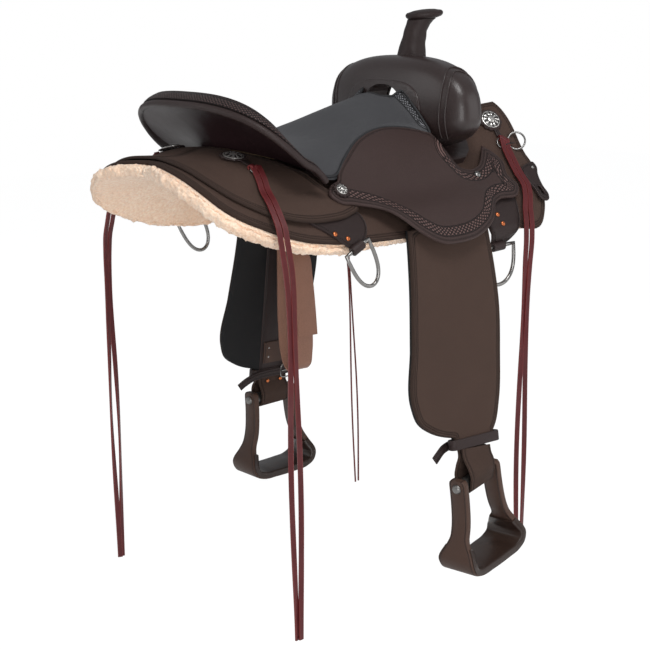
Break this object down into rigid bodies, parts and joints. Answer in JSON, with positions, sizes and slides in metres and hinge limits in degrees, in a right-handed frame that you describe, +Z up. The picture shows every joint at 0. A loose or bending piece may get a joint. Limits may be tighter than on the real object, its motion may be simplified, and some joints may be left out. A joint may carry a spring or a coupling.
{
  "type": "western trail saddle",
  "caption": "Western trail saddle with wide swell, horn, padded seat, cantle, cordura skirts, fleece lining, hinged fenders and bell stirrups.",
  "frame": {"origin": "on the centre plane at the spine of the form that the saddle sits on, under the seat", "axes": "+Y to the horse's head, +X to the saddle's right side, +Z up"},
  "size_m": [0.6489, 0.7494, 0.9609],
  "materials": {
    "cordura": "coarse woven nylon, matt brown",
    "jockey_leather": "smooth dark brown leather, satin",
    "seat_leather": "soft charcoal leather, satin",
    "dark_leather": "glossy black-brown leather",
    "stirrup_leather": "leather covered, satin brown",
    "latigo_leather": "oiled tan leather, matt",
    "string_leather": "oxblood lace leather, satin",
    "fleece": "cream wool pile",
    "neoprene": "black neoprene",
    "wood": "covered tree",
    "steel": "polished steel"
  },
  "bodies": {
    "saddle": {"cantle_back": "dark_leather", "cantle_core": "wood", "cantle_roll": "dark_leather", "fleece_left": "fleece", "fleece_right": "fleece", "fork_core": "wood", "front_concho_left": "steel", "front_concho_right": "steel", "front_rig_plate_left": "dark_leather", "front_rig_plate_right": "dark_leather", "front_string_left_1": "string_leather", "front_string_left_2": "string_leather", "front_string_right_1": "string_leather", "front_string_right_2": "string_leather", "ground_seat": "latigo_leather", "horn_cap": "dark_leather", "horn_post": "steel", "horn_wrap": "dark_leather", "rear_concho_left": "steel", "rear_concho_right": "steel", "rear_jockey_left": "cordura", "rear_jockey_right": "cordura", "rear_rig_plate_left": "dark_leather", "rear_rig_plate_right": "dark_leather", "rear_string_left_1": "string_leather", "rear_string_left_2": "string_leather", "rear_string_right_1": "string_leather", "rear_string_right_2": "string_leather", "seat": "seat_leather", "side_jockey_left": "jockey_leather", "side_jockey_right": "jockey_leather", "skirt_left": "cordura", "skirt_right": "cordura", "swell_cover": "dark_leather", "tree_bar_left": "wood", "tree_bar_right": "wood", "upper_strap_left": "dark_leather", "upper_strap_right": "dark_leather"},
    "hanger_left": {"fender_left": "cordura", "fender_lining_left": "neoprene", "stirrup_leather_left": "dark_leather", "stirrup_loop_left": "cordura", "hobble_strap_left": "dark_leather"},
    "stirrup_body_left": {"stirrup_left": "stirrup_leather", "stirrup_tread_left": "dark_leather", "stirrup_bolt_left": "steel"},
    "rear_dee_body_left": {"rear_dee_left": "steel"},
    "front_ring_body_left": {"front_ring_left": "steel"},
    "hanger_right": {"fender_right": "cordura", "fender_lining_right": "neoprene", "stirrup_leather_right": "dark_leather", "stirrup_loop_right": "cordura", "hobble_strap_right": "dark_leather"},
    "stirrup_body_right": {"stirrup_right": "stirrup_leather", "stirrup_tread_right": "dark_leather", "stirrup_bolt_right": "steel"},
    "rear_dee_body_right": {"rear_dee_right": "steel"},
    "front_ring_body_right": {"front_ring_right": "steel"},
    "latigo_body": {"latigo": "latigo_leather"}
  },
  "joints": [
    {"name": "fender_swing_right", "type": "hinge", "parent": "saddle", "child": "hanger_right", "pos_m": [0.2174, 0.089, -0.06], "axis": [0.9893, 0, 0.1461], "range_deg": [-10, 5]},
    {"name": "stirrup_swing_right", "type": "hinge", "parent": "hanger_right", "child": "stirrup_body_right", "pos_m": [0.28679, 0.089, -0.50256], "axis": [-0.1541, 0.9727, 0.1737], "range_deg": [-45, 45]},
    {"name": "rear_dee_swing_right", "type": "hinge", "parent": "saddle", "child": "rear_dee_body_right", "pos_m": [0.2366, -0.1179, -0.0995], "axis": [0, 0.8827, 0.47], "range_deg": [-70, 6]},
    {"name": "front_ring_swing_right", "type": "hinge", "parent": "saddle", "child": "front_ring_body_right", "pos_m": [0.2237, 0.1991, -0.1348], "axis": [0, 0.998, 0.0635], "range_deg": [-2, 45]},
    {"name": "fender_swing_left", "type": "hinge", "parent": "saddle", "child": "hanger_left", "pos_m": [-0.2174, 0.089, -0.06], "axis": [-0.9893, 0, 0.1461], "range_deg": [-5, 10]},
    {"name": "stirrup_swing_left", "type": "hinge", "parent": "hanger_left", "child": "stirrup_body_left", "pos_m": [-0.28236, 0.089, -0.4729], "axis": [0, 0.9986, 0.0523], "range_deg": [-45, 45]},
    {"name": "rear_dee_swing_left", "type": "hinge", "parent": "saddle", "child": "rear_dee_body_left", "pos_m": [-0.2366, -0.1179, -0.0995], "axis": [0, 0.8827, 0.47], "range_deg": [-6, 70]},
    {"name": "front_ring_swing_left", "type": "hinge", "parent": "saddle", "child": "front_ring_body_left", "pos_m": [-0.2237, 0.1991, -0.1348], "axis": [0, 0.998, 0.0635], "range_deg": [-45, 2]},
    {"name": "latigo_swing", "type": "hinge", "parent": "saddle", "child": "latigo_body", "pos_m": [-0.214, 0.085, -0.0996], "axis": [0, 1, 0], "range_deg": [-20, 5]}
  ]
}
